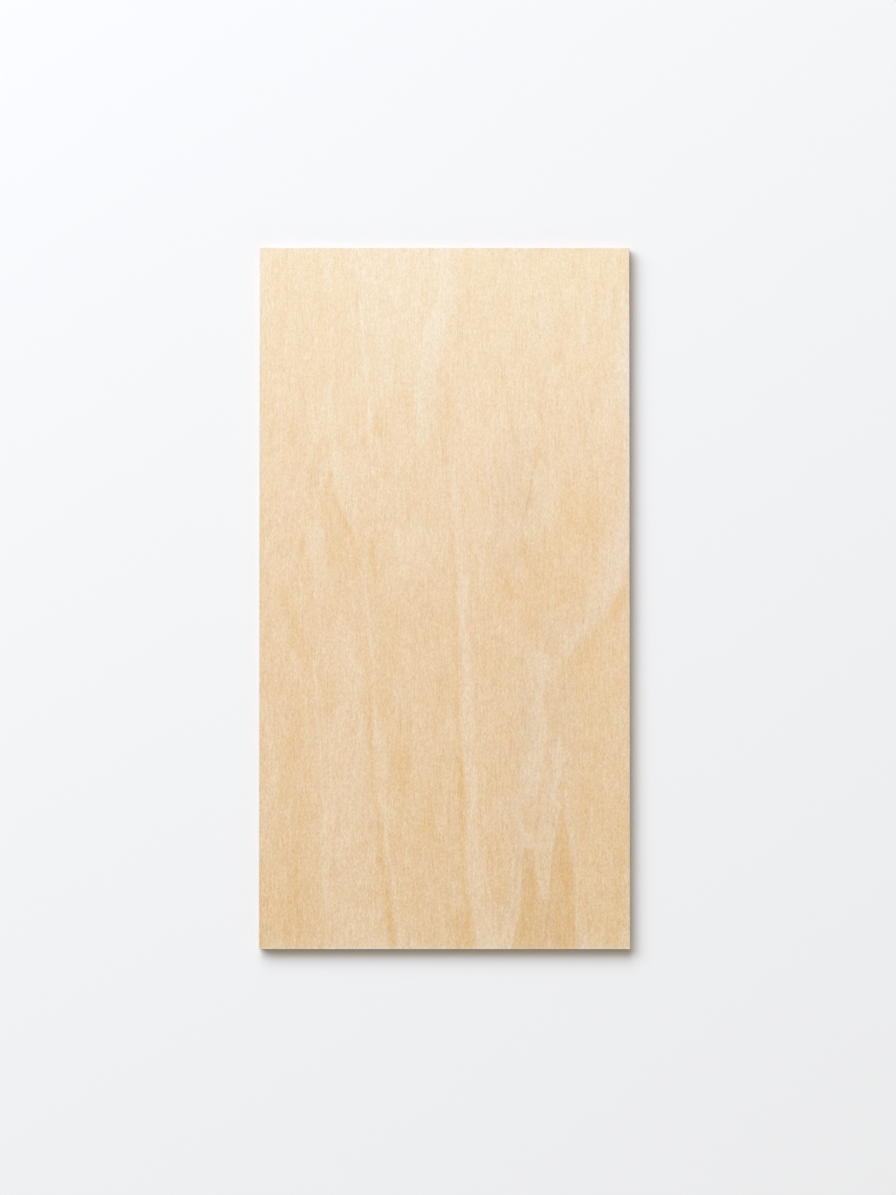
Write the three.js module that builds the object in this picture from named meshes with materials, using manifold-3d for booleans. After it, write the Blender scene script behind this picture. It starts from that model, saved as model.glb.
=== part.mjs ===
// A plywood sheet.
//
// Seven rotary-cut veneers are glued face to face, each with its grain at a right angle to the
// one below. The glued panel is sawn to a rectangle and sanded, which rounds its four upright
// corners a little and eases the arris where each broad face meets the edges.
//
// Frame: the origin is the centre of the back face. +X runs across the sheet, +Y along the grain
// of the face veneer, and +Z up through the thickness. Units are millimetres.

import * as THREE from 'three';
import { mergeVertices } from 'three/addons/utils/BufferGeometryUtils.js';
import Module from 'manifold-3d';

const wasm = await Module();
wasm.setup();

// Driving dimensions of the finished sheet.
const LENGTH = 600;
const WIDTH = 317;
const OUTER_PLY = 1.0625; // face and back veneers, sanded thinner than they were peeled
const INNER_PLY = 1.375; // the five veneers between them
const CORNER_RADIUS = 0.8; // upright corners, knocked back by the sander
const ARRIS_RADIUS = 0.4; // eased edge round both broad faces

// How finely the two rounds are faceted.
const CORNER_SEGMENTS = 8;
const ARRIS_SEGMENTS = 5;

// A veneer overhangs the finished outline by this much until the panel is trimmed.
const TRIM_ALLOWANCE = 12;

// Rotary-cut veneer is paler along the grain than on the plies that show their end grain.
const GRAIN_ALONG = { color: 0xe6cda8, roughness: 0.6 };
const GRAIN_ACROSS = { color: 0xd4b384, roughness: 0.7 };

// The lay-up, from the back of the sheet to its face.
const LAY_UP = [
  { name: 'back_veneer', thickness: OUTER_PLY, finish: GRAIN_ALONG },
  { name: 'lower_crossband', thickness: INNER_PLY, finish: GRAIN_ACROSS },
  { name: 'lower_inner_ply', thickness: INNER_PLY, finish: GRAIN_ALONG },
  { name: 'core_veneer', thickness: INNER_PLY, finish: GRAIN_ACROSS },
  { name: 'upper_inner_ply', thickness: INNER_PLY, finish: GRAIN_ALONG },
  { name: 'upper_crossband', thickness: INNER_PLY, finish: GRAIN_ACROSS },
  { name: 'face_veneer', thickness: OUTER_PLY, finish: GRAIN_ALONG },
];

const THICKNESS = LAY_UP.reduce((sum, ply) => sum + ply.thickness, 0);

// The sawn outline: a rectangle whose corners are quarter circles.
function sheetOutline() {
  const x = WIDTH / 2 - CORNER_RADIUS;
  const y = LENGTH / 2 - CORNER_RADIUS;
  const quarter = Math.PI / 2;
  const centres = [[x, y], [-x, y], [-x, -y], [x, -y]];
  const outline = new THREE.Shape();
  centres.forEach(([cx, cy], i) => {
    outline.absarc(cx, cy, CORNER_RADIUS, i * quarter, (i + 1) * quarter);
  });
  outline.closePath();
  return outline;
}

// A closed geometry as a solid that can be cut. Only positions are kept, so that faces that
// meet share their vertices.
function toSolid(geometry) {
  const bare = geometry.clone();
  bare.deleteAttribute('normal');
  bare.deleteAttribute('uv');
  const merged = mergeVertices(bare);
  return new wasm.Manifold(new wasm.Mesh({
    numProp: 3,
    vertProperties: new Float32Array(merged.attributes.position.array),
    triVerts: new Uint32Array(merged.index.array),
  }));
}

// A cut solid as a geometry with a crisp edge at every arris.
function toGeometry(solid) {
  const { numProp, vertProperties, triVerts } = solid.getMesh();
  const positions = [];
  for (let i = 0; i < vertProperties.length; i += numProp) {
    positions.push(vertProperties[i], vertProperties[i + 1], vertProperties[i + 2]);
  }
  const geometry = new THREE.BufferGeometry();
  geometry.setAttribute('position', new THREE.Float32BufferAttribute(positions, 3));
  geometry.setIndex(Array.from(triVerts));
  const faceted = geometry.toNonIndexed();
  faceted.computeVertexNormals();
  return faceted;
}

// The space that the trimmed and sanded sheet fills: the outline through the whole thickness,
// with a quarter-round arris along both broad faces.
function sandedSheet() {
  const body = new THREE.ExtrudeGeometry(sheetOutline(), {
    depth: THICKNESS - 2 * ARRIS_RADIUS,
    curveSegments: CORNER_SEGMENTS,
    bevelEnabled: true,
    bevelThickness: ARRIS_RADIUS,
    bevelSize: ARRIS_RADIUS,
    bevelOffset: -ARRIS_RADIUS,
    bevelSegments: ARRIS_SEGMENTS,
  });
  body.translate(0, 0, ARRIS_RADIUS);
  return toSolid(body);
}

// One veneer as it goes into the press, oversize, with its lower face at z = 0.
function rawVeneer(thickness) {
  const slab = new THREE.BoxGeometry(
    WIDTH + 2 * TRIM_ALLOWANCE,
    LENGTH + 2 * TRIM_ALLOWANCE,
    thickness,
  );
  slab.translate(0, 0, thickness / 2);
  return toSolid(slab);
}

// One veneer of the finished sheet, whose lower face lies at the given height.
function trimmedVeneer(sheet, { name, thickness, finish }, height) {
  const trimmed = rawVeneer(thickness).intersect(sheet.translate([0, 0, -height]));
  const material = new THREE.MeshStandardMaterial({ ...finish, metalness: 0 });
  const mesh = new THREE.Mesh(toGeometry(trimmed), material);
  mesh.name = name;
  mesh.position.z = height;
  return mesh;
}

function plywoodSheet() {
  const sheet = sandedSheet();
  const group = new THREE.Group();
  let height = 0;
  for (const ply of LAY_UP) {
    group.add(trimmedVeneer(sheet, ply, height));
    height += ply.thickness;
  }
  return group;
}

export default plywoodSheet();
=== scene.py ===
"""A sheet of sanded basswood plywood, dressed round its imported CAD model.

Seven rotary-cut veneers lie crossed, each with its fibres at a right angle to the next, and a
film of cured glue holds each pair together. Veneers and films are thin slabs whose bedding
wanders a little, as it does in a pressed panel. The broad faces carry the figure of the peeled
log, and the sawn edges show long grain and end grain by turns.
"""

import logging
import math
import random
from collections.abc import Iterable, Iterator
from dataclasses import dataclass
from enum import Enum

import bmesh
import bpy
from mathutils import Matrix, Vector

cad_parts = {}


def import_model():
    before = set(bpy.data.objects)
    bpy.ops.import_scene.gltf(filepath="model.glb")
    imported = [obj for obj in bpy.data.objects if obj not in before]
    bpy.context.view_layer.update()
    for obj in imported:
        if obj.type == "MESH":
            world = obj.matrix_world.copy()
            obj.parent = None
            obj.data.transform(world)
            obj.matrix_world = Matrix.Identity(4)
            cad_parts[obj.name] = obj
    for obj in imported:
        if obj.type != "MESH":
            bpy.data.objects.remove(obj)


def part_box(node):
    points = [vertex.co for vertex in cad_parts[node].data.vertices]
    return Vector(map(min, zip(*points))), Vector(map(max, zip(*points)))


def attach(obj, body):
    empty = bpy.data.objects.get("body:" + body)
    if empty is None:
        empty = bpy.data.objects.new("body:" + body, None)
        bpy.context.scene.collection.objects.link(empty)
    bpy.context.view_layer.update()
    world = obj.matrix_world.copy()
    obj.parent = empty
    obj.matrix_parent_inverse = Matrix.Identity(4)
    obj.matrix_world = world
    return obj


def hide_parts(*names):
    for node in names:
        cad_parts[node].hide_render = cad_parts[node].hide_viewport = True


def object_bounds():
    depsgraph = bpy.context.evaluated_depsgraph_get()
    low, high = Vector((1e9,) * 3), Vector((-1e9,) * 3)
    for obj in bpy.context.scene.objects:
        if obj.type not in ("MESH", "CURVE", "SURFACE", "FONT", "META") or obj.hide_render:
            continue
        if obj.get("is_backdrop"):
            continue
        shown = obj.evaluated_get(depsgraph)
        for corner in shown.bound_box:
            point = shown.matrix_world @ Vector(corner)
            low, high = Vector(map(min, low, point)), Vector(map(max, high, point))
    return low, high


LOG = logging.getLogger("plywood_sheet")

MM = 0.001
ROOT_BODY = "root"

Colour = tuple[float, float, float, float]
Tree = bpy.types.NodeTree
Socket = bpy.types.NodeSocket
Inputs = dict[int | str, object]

# One layer of a finish: how much of it there is, from 0 to 1, and the colour that it multiplies by.
Layer = tuple[Socket, Colour | Socket]

# How strongly wood fibre bends light. Cured urea resin is near enough the same.
IOR = 1.5


def linear(srgb_hex: str) -> Colour:
    """Turns an sRGB hex colour, such as "ead3ae", into Blender's scene linear one."""
    channels = [int(srgb_hex[i : i + 2], 16) / 255 for i in (0, 2, 4)]
    return (*(c / 12.92 if c <= 0.04045 else ((c + 0.055) / 1.055) ** 2.4 for c in channels), 1.0)


def add(tree: Tree, kind: str, inputs: Inputs | None = None, **settings: object) -> bpy.types.Node:
    """Adds one shader node, with its settings and links.

    Args:
        tree: The node tree that gets the node.
        kind: The node's type, without the leading ShaderNode.
        inputs: Sockets by name or number, each with a value or with the socket that feeds it.
        settings: The node's own properties.

    Returns:
        The new node.
    """
    node = tree.nodes.new("ShaderNode" + kind)
    for name, value in settings.items():
        setattr(node, name, value)
    for key, value in (inputs or {}).items():
        if isinstance(value, Socket):
            tree.links.new(value, node.inputs[key])
        else:
            node.inputs[key].default_value = value
    return node


def new_material(name: str) -> bpy.types.Material:
    """Makes an empty node material.

    Args:
        name: The finish's name.

    Returns:
        The material, whose tree holds no node yet.
    """
    material = bpy.data.materials.new(name)
    material.use_nodes = True
    material.node_tree.nodes.clear()
    return material


def place_in_mm(tree: Tree) -> Socket:
    """Gives the shaded point's place in mm, in the frame that every piece shares with the sheet."""
    local = add(tree, "TexCoord").outputs["Object"]
    return add(tree, "VectorMath", {0: local, "Scale": 1 / MM}, operation="SCALE").outputs[0]


def layered(tree: Tree, colour: Socket, layers: Iterable[Layer]) -> Socket:
    """Lays the layers of a finish over a colour, one on another.

    A generator's layers are each mixed in before the next is made, so that the renderer needn't
    hold them all at once. A Mix node's colours are its inputs 6 and 7 and its output 2.

    Args:
        tree: The material's tree.
        colour: What lies under the layers.
        layers: The layers, the lowest first.

    Returns:
        The colour as they leave it.
    """
    for amount, tint in layers:
        stack = {0: amount, 6: colour, 7: tint}
        colour = add(tree, "Mix", stack, data_type="RGBA", blend_type="MULTIPLY").outputs[2]
    return colour


class Side(Enum):
    """A broad side of the sheet. The value is the way that it looks along Z."""

    BACK = -1
    FACE = 1


class Grain(Enum):
    """Which way a veneer's fibres run. The value is the axis they follow."""

    ALONG = "Y"
    ACROSS = "X"

    def stretch(self, width: float, length: float) -> tuple[float, float, float]:
        """Lays a size across and along the fibres out on the sheet's axes."""
        return (width, length, width) if self is Grain.ALONG else (length, width, width)


@dataclass(frozen=True)
class Clouds:
    """A soft random pattern.

    size is that of one patch along X, Y and Z, in mm. detail is how many finer layers lie over it.
    levels are the two values of the noise that come out as 0 and as 1.
    """

    size: tuple[float, float, float]
    detail: float = 1.0
    levels: tuple[float, float] = (0.2, 0.8)

    def lay(self, tree: Tree, place: Socket, shift: float) -> Socket:
        """Adds the pattern to a tree.

        Args:
            tree: The material's tree.
            place: Position in mm.
            shift: Picks another stretch of the same pattern.

        Returns:
            A value from 0 to 1.
        """
        per_mm = tuple(1 / side for side in self.size)
        low, high = self.levels
        spot = add(tree, "Mapping", {
            "Vector": place, "Scale": per_mm, "Location": (shift,) * 3,
        }).outputs[0]
        noise = add(tree, "TexNoise", {"Vector": spot, "Scale": 1.0, "Detail": self.detail}).outputs[0]
        return add(tree, "MapRange", {"Value": noise, "From Min": low, "From Max": high}).outputs[0]


@dataclass(frozen=True)
class Streaks:
    """Clouds drawn out along the fibres.

    width and length are the size of one streak in mm, across the fibres and along them.
    """

    width: float
    length: float
    detail: float = 1.0

    def lay(self, tree: Tree, place: Socket, shift: float, grain: Grain = Grain.ALONG) -> Socket:
        """Adds the streaks to a tree, and gives a value from 0 to 1 that is about 0.5 on average."""
        return Clouds(grain.stretch(self.width, self.length), self.detail).lay(tree, place, shift)


# A pattern, and how far it moves a place or a tone.
Swing = tuple[Streaks, float]

# A pattern, and how far it lightens or darkens red, green and blue, as a share of the colour.
Shading = tuple[Streaks, tuple[float, float, float]]

# The figure is laid out on a field this long and this wide, in mm.
FIGURE_LENGTH = 600.0
FIGURE_REACH = 320.0

# A stroke of the figure runs out to a point here.
TIP = None

# A float curve is kept as a table with this many steps.
CURVE_STEPS = 256


@dataclass(frozen=True)
class Stroke:
    """One streak or patch of a veneer's figure.

    tone is how much browner it is than the wood round it, and negative where it is paler. feather
    is the softness of its sides in mm. spine is its course: (y, x, half width) in mm from the far
    end of the sheet to the near one, with TIP for the half width where it runs out to a point.
    """

    tone: float
    feather: float
    spine: tuple[tuple[float, float, float | None], ...]

    def middles(self) -> list[tuple[float, float]]:
        """Gives the spine's course as shares of the figure's length and reach."""
        return [(y / FIGURE_LENGTH + 0.5, x / FIGURE_REACH + 0.5) for y, x, _ in self.spine]

    def halves(self) -> list[tuple[float, float]]:
        """Gives the half widths along the spine as shares of the figure's length and reach."""
        return [
            (y / FIGURE_LENGTH + 0.5, (-self.feather if half is TIP else half) / FIGURE_REACH)
            for y, _, half in self.spine
        ]


@dataclass(frozen=True)
class Tint:
    """A colour that part of a veneer is multiplied by, and the strokes that it covers."""

    colour: Colour
    strokes: tuple[Stroke, ...]


# The figure of the face veneer. Rotary cutting peels a wavering ribbon off the log, so the growth
# rings come out as long flames, nested cups and stray pale streaks.
FACE_FIGURE = (
    # Pale sapwood streaks at the far end.
    Stroke(-0.18, 2.0, ((299, -99, 2), (255, -99, 3.5), (225, -97, 1.5), (210, -97, TIP))),
    Stroke(-0.15, 2.0, ((197, -98, TIP), (169, -100, 2.5), (156, -99, 1.5), (126, -97, TIP))),
    Stroke(-0.12, 1.0, ((139, -98, TIP), (118, -97, 1), (92, -91, 1), (75, -85, 1), (59, -78, TIP))),
    Stroke(-0.2, 1.5, (
        (299, -70, 1.5), (233, -70, 1), (190, -67, 1.5), (152, -64, 1.5), (118, -62, 1.5),
        (83, -58, TIP),
    )),
    Stroke(-0.26, 3.5, (
        (299, -2, 6.5), (276, 1, 7.5), (259, 2, 9.5), (237, -6, 8), (212, -12, 7.5),
        (182, -15, 7.5), (152, -18, 6.5), (137, -18, 5.5), (124, -18, TIP),
    )),
    Stroke(-0.12, 12.0, ((299, -37, 30), (233, -39, 26.5), (186, -41, 15.5), (165, -41, TIP))),
    Stroke(0.15, 2.5, ((285, -15, TIP), (263, -18, 2), (242, -20, 2), (222, -23, TIP))),
    Stroke(0.2, 1.5, ((225, -40, TIP), (205, -41, 1.5), (184, -43, 1.5), (173, -43, TIP))),
    # Brown flecks and dark threads below them.
    Stroke(0.18, 1.5, ((268, -88, TIP), (250, -88, 1.5), (225, -87, 1.5), (198, -86, TIP))),
    Stroke(0.16, 1.0, ((192, -78, TIP), (178, -78, 1), (160, -77, TIP))),
    Stroke(0.16, 4.0, ((158, -130, TIP), (148, -130, 4), (136, -130, 3), (124, -130, TIP))),
    Stroke(0.3, 3.0, ((164, -58, TIP), (154, -58, 2), (147, -58, 3.5), (142, -58, 3), (134, -56, TIP))),
    Stroke(0.2, 4.0, ((154, -50, TIP), (142, -52, 4), (130, -54, TIP))),
    Stroke(0.26, 2.0, ((146, -69, TIP), (134, -69, 2), (118, -67, TIP))),
    Stroke(0.4, 1.2, ((111, -97, TIP), (104, -97.5, 1.5), (99, -98, 1.2), (92, -99, TIP))),
    Stroke(0.32, 2.0, ((122, -50, TIP), (109, -51, 2.5), (95, -52, TIP))),
    Stroke(0.24, 2.0, ((156, -5, TIP), (146, -4, 2.5), (132, -2, 2.5), (118, 1, 1.5), (103, 5, TIP))),
    Stroke(0.2, 1.5, (
        (198, 88, TIP), (184, 86, 1.5), (168, 81, 1.5), (150, 84, 1.5), (139, 86, 1.5), (126, 80, TIP),
    )),
    Stroke(0.18, 3.0, ((213, 98, TIP), (206, 96, 6), (202, 94, 6), (196, 92, TIP))),
    Stroke(0.16, 3.0, ((202, 116, TIP), (194, 115, 3), (186, 115, TIP))),
    Stroke(0.38, 3.0, ((133, 80, TIP), (123, 80, 3.5), (115, 78, 3.5), (107, 77, TIP))),
    Stroke(0.18, 2.5, ((143, 128, TIP), (126, 128, 2), (105, 127, TIP))),
    Stroke(0.18, 6.0, ((105, 69, TIP), (92, 68, 4.5), (75, 66, 4.5), (64, 68, TIP))),
    Stroke(0.22, 6.0, ((58, 68, TIP), (42, 68, 7), (30, 71, 6), (18, 73, TIP))),
    Stroke(0.35, 4.5, ((22, 54, TIP), (12, 54, 4.5), (2, 58, 4), (-6, 60, TIP))),
    Stroke(0.2, 3.0, ((10, 99, TIP), (2, 100, 5), (-7, 102, TIP))),
    Stroke(0.12, 6.0, ((41, 86, TIP), (21, 84, 4.5), (2, 83, TIP))),
    Stroke(0.14, 14.0, (
        (98, 112, TIP), (70, 112, 16), (45, 95, 32), (20, 82, 38), (0, 80, 36), (-25, 82, 28),
        (-46, 80, TIP),
    )),
    Stroke(0.11, 7.0, ((102, 108, TIP), (86, 114, 14), (65, 115, 16), (44, 112, TIP))),
    Stroke(-0.15, 5.0, ((92, 36, TIP), (60, 36, 4.5), (41, 35, TIP))),
    Stroke(-0.12, 6.0, ((126, 94, TIP), (96, 92, 6), (71, 91, 6), (51, 90, TIP))),
    Stroke(-0.18, 1.5, ((45, 40, TIP), (23, 41, 1.5), (-11, 43, 1.5), (-34, 41, TIP))),
    # The pale band that comes in from the right edge and swings towards the middle.
    Stroke(-0.3, 4.0, (
        (244, 160, TIP), (226, 157, 8), (205, 156, 6), (185, 156, 5.5), (160, 158, 3.5),
        (92, 158, 3.5), (62, 152, 9), (40, 147, 12), (20, 143, 12.5), (0, 133, 10),
        (-20, 124, 6), (-32, 115, 6), (-44, 106, 5), (-54, 103, TIP),
    )),
    Stroke(-0.15, 4.0, ((-17, 102, TIP), (-30, 103, 5), (-43, 106, TIP))),
    Stroke(-0.18, 4.0, ((60, 153, TIP), (40, 151, 6), (20, 147, 6), (4, 140, 3), (-5, 136, TIP))),
    Stroke(0.2, 5.0, (
        (23, 160, TIP), (6, 157, 4), (-8, 149, 5), (-32, 131, 8), (-45, 122, 6), (-58, 118, TIP),
    )),
    Stroke(0.25, 4.0, ((14, 158, TIP), (2, 151, 4), (-12, 146, 3), (-20, 142, TIP))),
    Stroke(0.12, 6.0, ((-58, 118, TIP), (-75, 119, 5), (-101, 118, TIP))),
    # The long pale stripe down the middle, and the cup that it makes with its neighbour.
    Stroke(-0.36, 2.0, (
        (28, 14, TIP), (10, 15, 3), (-8, 15, 4), (-60, 18, 3), (-100, 19, 4),
        (-125, 20, 4.5), (-140, 21, 4.5), (-160, 23, 4), (-200, 24, 4.5), (-220, 27, 6),
        (-240, 29, 7.5), (-260, 32, 8.5), (-300, 38, 9),
    )),
    Stroke(-0.2, 4.0, ((122, 8, TIP), (102, 9, 3), (60, 13, 3), (20, 15, 5), (-6, 15, 4), (-30, 17, TIP))),
    Stroke(-0.2, 1.0, ((-205, 19, TIP), (-225, 21, 1), (-250, 22, 1), (-275, 27, 1), (-300, 30, 1.5))),
    Stroke(-0.3, 1.5, ((-163, 62, TIP), (-175, 62, 2.5), (-190, 63, 3), (-205, 64, 3.5), (-216, 64, TIP))),
    Stroke(-0.45, 1.0, (
        (-196, 61, TIP), (-210, 61, 1), (-222, 59, 1), (-240, 58, 1), (-262, 57, 1.5), (-280, 53, 1.5),
        (-300, 48, 2),
    )),
    Stroke(-0.42, 1.0, (
        (-202, 68, TIP), (-214, 67, 1.5), (-224, 65, 1), (-240, 64, 1.5), (-262, 63, 2.5), (-280, 60, 1.5),
        (-300, 55, 1),
    )),
    Stroke(-0.28, 2.0, ((-197, 69, TIP), (-206, 70, 5), (-211, 71, 6), (-216, 72, TIP))),
    Stroke(0.08, 0.8, ((-216, 63, TIP), (-235, 61, 1), (-262, 60, 0.5), (-285, 56, 0.5), (-299, 52, TIP))),
    Stroke(-0.1, 4.0, ((-250, 45, TIP), (-270, 45, 10), (-300, 44, 13))),
    # The pale flame on the right of the near end, and the vee that it runs down into.
    Stroke(-0.38, 2.5, (
        (-44, 82, TIP), (-52, 82, 5), (-66, 84, 5), (-78, 82, 2.5), (-88, 80, 3), (-98, 79, 6.5),
        (-116, 79, 6.5), (-128, 78, 4.5), (-150, 77, 5), (-166, 72, TIP),
    )),
    Stroke(-0.16, 4.0, ((-124, 80, TIP), (-140, 77, 9), (-156, 75, 12), (-168, 72, 11), (-180, 66, TIP))),
    Stroke(-0.14, 3.0, (
        (-148, 88, TIP), (-165, 90, 5), (-185, 88, 6), (-202, 85, 5), (-225, 85, 1), (-250, 86, TIP),
    )),
    Stroke(-0.3, 2.0, (
        (-116, 97, TIP), (-128, 97, 5), (-138, 98, 6.5), (-146, 97, 5), (-155, 95, 2.5),
        (-180, 93, 1.5), (-202, 90, TIP),
    )),
    Stroke(-0.32, 0.8, ((-204, 76, TIP), (-215, 78, 1), (-230, 80, 1), (-248, 83, 1), (-265, 86, TIP))),
    Stroke(-0.4, 0.8, (
        (-168, 99, TIP), (-182, 97, 1), (-200, 94, 1), (-220, 91, 1), (-240, 89, 1), (-265, 87, TIP),
    )),
    # The two brown legs under it, which join at the near end.
    Stroke(0.4, 1.5, (
        (-210, 71.5, TIP), (-215, 71.5, 4.5), (-222, 71.5, 6), (-240, 72, 7.5), (-250, 73, 9),
        (-260, 74, 10.5), (-270, 74, 12.5), (-284, 73, 14), (-300, 72, 15),
    )),
    Stroke(0.25, 3.0, ((-226, 73, TIP), (-240, 73, 4), (-262, 74, 4), (-282, 72, TIP))),
    Stroke(0.15, 4.0, ((-262, 66, TIP), (-280, 67, 5), (-300, 67, 7))),
    Stroke(0.4, 1.5, (
        (-172, 100, TIP), (-182, 100, 1), (-190, 100.5, 2.5), (-200, 100.5, 4.5), (-215, 100, 7),
        (-240, 100, 9.5), (-258, 100, 11.5), (-275, 99, 13), (-300, 100, 13),
    )),
    Stroke(0.3, 1.0, ((-153, 100, TIP), (-160, 99.5, 1.5), (-167, 100, 1.5), (-174, 101, TIP))),
    Stroke(0.22, 3.0, ((-200, 101, TIP), (-220, 102, 4), (-245, 103, 4.5), (-266, 105, TIP))),
    Stroke(-0.32, 1.0, (
        (-154, 102, TIP), (-182, 106, 1.5), (-200, 109, 1), (-220, 112, 1), (-245, 113, 1),
        (-265, 113, 0.5), (-285, 113, TIP),
    )),
    Stroke(-0.2, 3.0, ((-226, 157, TIP), (-240, 157, 4), (-268, 156, 5), (-300, 158, 3))),
    Stroke(-0.3, 2.0, ((-270, 118, TIP), (-285, 119, 2.5), (-300, 121, 3.5))),
    Stroke(0.17, 9.0, ((-148, 124, TIP), (-166, 124, 9), (-182, 123, 8), (-198, 120, TIP))),
    # Pale lines and the pale field between them on the left of the near half.
    Stroke(-0.32, 1.0, (
        (-26, -105, TIP), (-60, -111, 1.5), (-90, -109, 1.5), (-115, -108, 1.5), (-137, -106, 1.5),
        (-160, -105, 1.5), (-190, -102, 1.5), (-215, -103, 1.5), (-240, -101, 1.5),
        (-265, -100, 1.5), (-300, -101, 1.5),
    )),
    Stroke(-0.19, 5.0, (
        (-9, -90, TIP), (-28, -88, 7), (-71, -84, 13), (-100, -82, 15), (-150, -84, 19),
        (-200, -82, 21), (-250, -78, 23), (-300, -73, 26),
    )),
    Stroke(0.15, 3.0, ((-228, -94, TIP), (-242, -95, 3), (-256, -94, 3), (-275, -91, TIP))),
    Stroke(-0.3, 1.5, (
        (51, -70, TIP), (23, -69, 1.5), (-2, -66, 1.5), (-41, -63, 1.5), (-70, -60, 1),
        (-92, -60, 1), (-108, -59, TIP),
    )),
    Stroke(-0.22, 2.0, (
        (-84, -59, TIP), (-98, -59, 2.5), (-110, -57, 4), (-125, -56, 5), (-145, -54, 5),
        (-165, -53, 4), (-180, -51, 2), (-196, -50, TIP),
    )),
    Stroke(-0.4, 1.0, (
        (-185, -52, TIP), (-205, -50, 1), (-220, -48, 1), (-240, -44, 1), (-265, -40, 1.5),
        (-300, -37, 1.5),
    )),
    Stroke(-0.26, 4.0, ((73, -110, TIP), (53, -109, 5), (19, -109, 5), (-13, -109, TIP))),
    Stroke(-0.15, 7.0, ((137, -88, TIP), (113, -85, 11), (88, -81, 9.5), (66, -79, TIP))),
    Stroke(-0.2, 1.5, ((68, -124, TIP), (53, -125, 1), (32, -130, 1.5), (0, -139, TIP))),
    Stroke(-0.15, 6.0, ((-11, -140, TIP), (-32, -140, 6), (-56, -141, TIP))),
    Stroke(-0.15, 5.0, (
        (-71, -151, TIP), (-113, -150, 6), (-148, -145, 4.5), (-182, -153, 5),
        (-208, -154, TIP),
    )),
    Stroke(0.27, 3.0, ((-214, -158, TIP), (-236, -157, 4), (-276, -157, 5), (-300, -158, 4))),
    Stroke(-0.12, 1.5, ((-182, -9, TIP), (-238, -6, 1.5), (-300, -1, 1.5))),
    Stroke(-0.16, 1.0, ((-190, 5, TIP), (-220, 6, 1), (-262, 8, 1), (-282, 9, TIP))),
    Stroke(-0.16, 4.0, ((-64, -40, TIP), (-80, -41, 5), (-97, -40, TIP))),
    # Pale wedge above the middle, with its bright rim.
    Stroke(-0.28, 4.0, (
        (80, -26, TIP), (64, -26, 5), (48, -25, 12), (32, -26, 10.5), (17, -27, 7.5), (-4, -29, TIP),
    )),
    Stroke(-0.13, 5.0, ((128, -40, TIP), (105, -38, 6), (80, -38, 6), (64, -36, TIP))),
    Stroke(-0.1, 5.0, ((84, -13, TIP), (62, -12, 5), (32, -10, 4), (14, -8, TIP))),
    Stroke(-0.18, 1.5, ((118, -42, TIP), (83, -41, 1.5), (49, -39, 1.5), (23, -34, 1.5), (4, -29, TIP))),
    # Brown lines that edge the pale stripes, and the brown wedges on the left.
    Stroke(0.26, 2.0, ((60, -64, TIP), (46, -62, 3), (32, -62, 3), (19, -60, 1.5), (2, -59, TIP))),
    Stroke(0.28, 2.0, (
        (-10, -70, TIP), (-36, -68, 1), (-71, -66, 1.5), (-109, -64, 1.5), (-150, -61, 1.5),
        (-175, -59, 2), (-195, -56, 2.5), (-225, -54, 2.5), (-250, -50, 3), (-275, -47, 3.5),
        (-300, -44, 3),
    )),
    Stroke(0.18, 2.0, (
        (113, 4, TIP), (58, 6, 1.5), (-2, 8, 1.5), (-45, 9, 1.5), (-88, 10, 2), (-131, 12, 2),
        (-173, 14, 2.5), (-216, 15, 2), (-300, 22, 2.5),
    )),
    Stroke(0.32, 2.0, ((-126, 12, TIP), (-140, 12, 3), (-155, 12.5, 5), (-166, 13, 4.5), (-176, 13.5, TIP))),
    Stroke(0.08, 2.5, ((-186, 14, TIP), (-198, 14, 4), (-215, 15, 4), (-236, 15.5, TIP))),
    Stroke(0.28, 4.0, ((-258, 14, TIP), (-280, 15, 6), (-300, 16, 5))),
    Stroke(0.24, 3.0, ((108, -98, TIP), (88, -102, 3), (60, -98, 3.5), (38, -97, 3.5), (12, -98, TIP))),
    Stroke(0.22, 2.5, (
        (96, -97, TIP), (85, -94, 1.5), (70, -88, 1.5), (60, -83, 1.5), (50, -79, 2.5), (40, -76, 3.5),
        (28, -74, 3.5), (12, -76, TIP),
    )),
    Stroke(0.16, 5.0, ((60, -90, TIP), (40, -89, 8), (10, -90, 6), (-14, -92, TIP))),
    Stroke(0.28, 3.0, ((65, -84, TIP), (57, -84, 4.5), (49, -84, TIP))),
    Stroke(0.26, 3.0, (
        (66, -120, TIP), (50, -121, 2), (36, -124, 2.5), (15, -129, 2.5), (0, -135, 3.5),
        (-19, -130, 5), (-34, -126, 6), (-46, -125, 4), (-58, -123, TIP),
    )),
    Stroke(0.14, 8.0, (
        (-62, -127, TIP), (-96, -124, 8), (-165, -126, 7), (-216, -126, 8.5),
        (-300, -127, 11),
    )),
    Stroke(0.12, 3.0, ((-70, -127, TIP), (-90, -125, 3), (-112, -121, 4), (-134, -122, TIP))),
    Stroke(0.22, 3.5, ((-223, -128, TIP), (-240, -128, 4.5), (-252, -128, 4.5), (-266, -129, TIP))),
    Stroke(0.17, 8.0, ((-246, -126, TIP), (-268, -128, 18), (-300, -131, 26))),
    Stroke(0.24, 5.0, ((-114, -38, TIP), (-130, -38, 6), (-145, -37, 8), (-158, -37, 7), (-176, -36, TIP))),
    Stroke(0.24, 4.0, ((-152, -15, TIP), (-173, -15, 4), (-190, -14, 5), (-208, -13, 3.5), (-255, -12, TIP))),
    Stroke(0.1, 8.0, ((-98, 42, TIP), (-124, 42, 9), (-154, 50, 9), (-180, 50, TIP))),
    Stroke(0.07, 16.0, ((-20, 138, TIP), (-50, 130, 20), (-100, 112, 26), (-150, 118, TIP))),
)

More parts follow.
